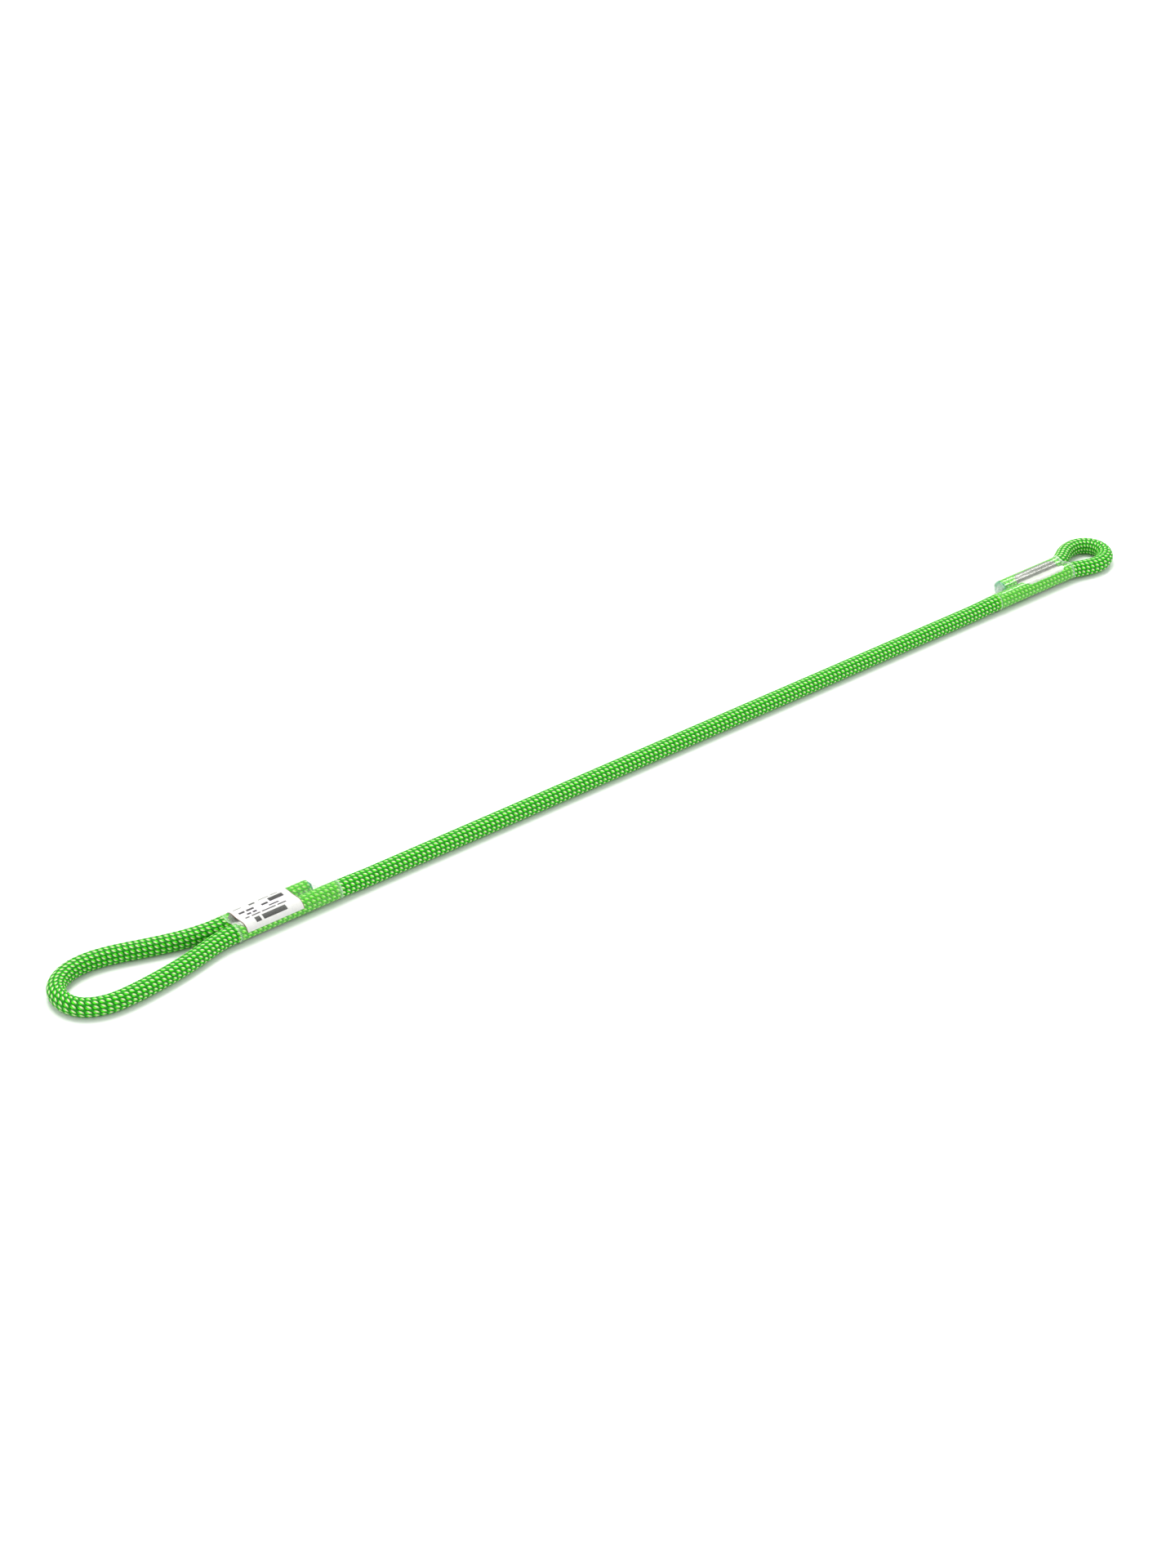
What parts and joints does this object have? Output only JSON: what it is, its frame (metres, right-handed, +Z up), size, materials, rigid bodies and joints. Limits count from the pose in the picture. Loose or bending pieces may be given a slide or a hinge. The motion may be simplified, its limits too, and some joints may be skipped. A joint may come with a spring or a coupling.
{
  "type": "rope lanyard",
  "caption": "Short kernmantle rope lanyard with a sewn eye at each end, each splice under a clear shrink sleeve.",
  "frame": {"origin": "centre of the footprint, on the surface that the lanyard lies on", "axes": "+X along the lanyard from the large labelled eye to the small eye, +Y to the side that the rope tails lie on, +Z up"},
  "size_m": [0.7501, 0.0473, 0.011],
  "materials": {
    "braided_sheath": "bright green braided polyamide with pale green flecks",
    "core_strands": "white twisted core strands",
    "melted_rope": "rope end melted to a hard, dark green cap",
    "sewing_thread": "light grey bonded sewing thread",
    "clear_sleeve": "clear flexible shrink tube, glossy",
    "label_film": "off-white printed film with a few grey rules"
  },
  "bodies": {
    "large_eye_end": {"near_eye_sheath": "braided_sheath", "near_eye_core": "core_strands", "near_tail_sheath": "braided_sheath", "near_tail_core": "core_strands", "near_tail_cap": "melted_rope", "near_standing_sheath": "braided_sheath", "near_standing_core": "core_strands", "near_stitching": "sewing_thread", "near_sleeve": "clear_sleeve", "label": "label_film"},
    "shank_1": {"shank_1_sheath": "braided_sheath", "shank_1_core": "core_strands"},
    "shank_2": {"shank_2_sheath": "braided_sheath", "shank_2_core": "core_strands"},
    "shank_3": {"shank_3_sheath": "braided_sheath", "shank_3_core": "core_strands"},
    "shank_4": {"shank_4_sheath": "braided_sheath", "shank_4_core": "core_strands"},
    "shank_5": {"shank_5_sheath": "braided_sheath", "shank_5_core": "core_strands"},
    "shank_6": {"shank_6_sheath": "braided_sheath", "shank_6_core": "core_strands"},
    "small_eye_end": {"far_eye_sheath": "braided_sheath", "far_eye_core": "core_strands", "far_tail_sheath": "braided_sheath", "far_tail_core": "core_strands", "far_tail_cap": "melted_rope", "far_standing_sheath": "braided_sheath", "far_standing_core": "core_strands", "far_stitching": "sewing_thread", "far_sleeve": "clear_sleeve"}
  },
  "joints": [
    {"name": "bend_1", "type": "hinge", "parent": "large_eye_end", "child": "shank_1", "pos_m": [-0.182, -0.0082, 0.0055], "axis": [0, 0, 1], "range_deg": [-35, 35]},
    {"name": "bend_2", "type": "hinge", "parent": "shank_1", "child": "shank_2", "pos_m": [-0.1105, -0.0082, 0.0055], "axis": [0, 0, 1], "range_deg": [-35, 35]},
    {"name": "bend_3", "type": "hinge", "parent": "shank_2", "child": "shank_3", "pos_m": [-0.039, -0.0082, 0.0055], "axis": [0, 0, 1], "range_deg": [-35, 35]},
    {"name": "bend_4", "type": "hinge", "parent": "shank_3", "child": "shank_4", "pos_m": [0.0325, -0.0082, 0.0055], "axis": [0, 0, 1], "range_deg": [-35, 35]},
    {"name": "bend_5", "type": "hinge", "parent": "shank_4", "child": "shank_5", "pos_m": [0.104, -0.0082, 0.0055], "axis": [0, 0, 1], "range_deg": [-35, 35]},
    {"name": "bend_6", "type": "hinge", "parent": "shank_5", "child": "shank_6", "pos_m": [0.1755, -0.0082, 0.0055], "axis": [0, 0, 1], "range_deg": [-35, 35]},
    {"name": "bend_7", "type": "hinge", "parent": "shank_6", "child": "small_eye_end", "pos_m": [0.247, -0.0082, 0.0055], "axis": [0, 0, 1], "range_deg": [-35, 35]}
  ]
}
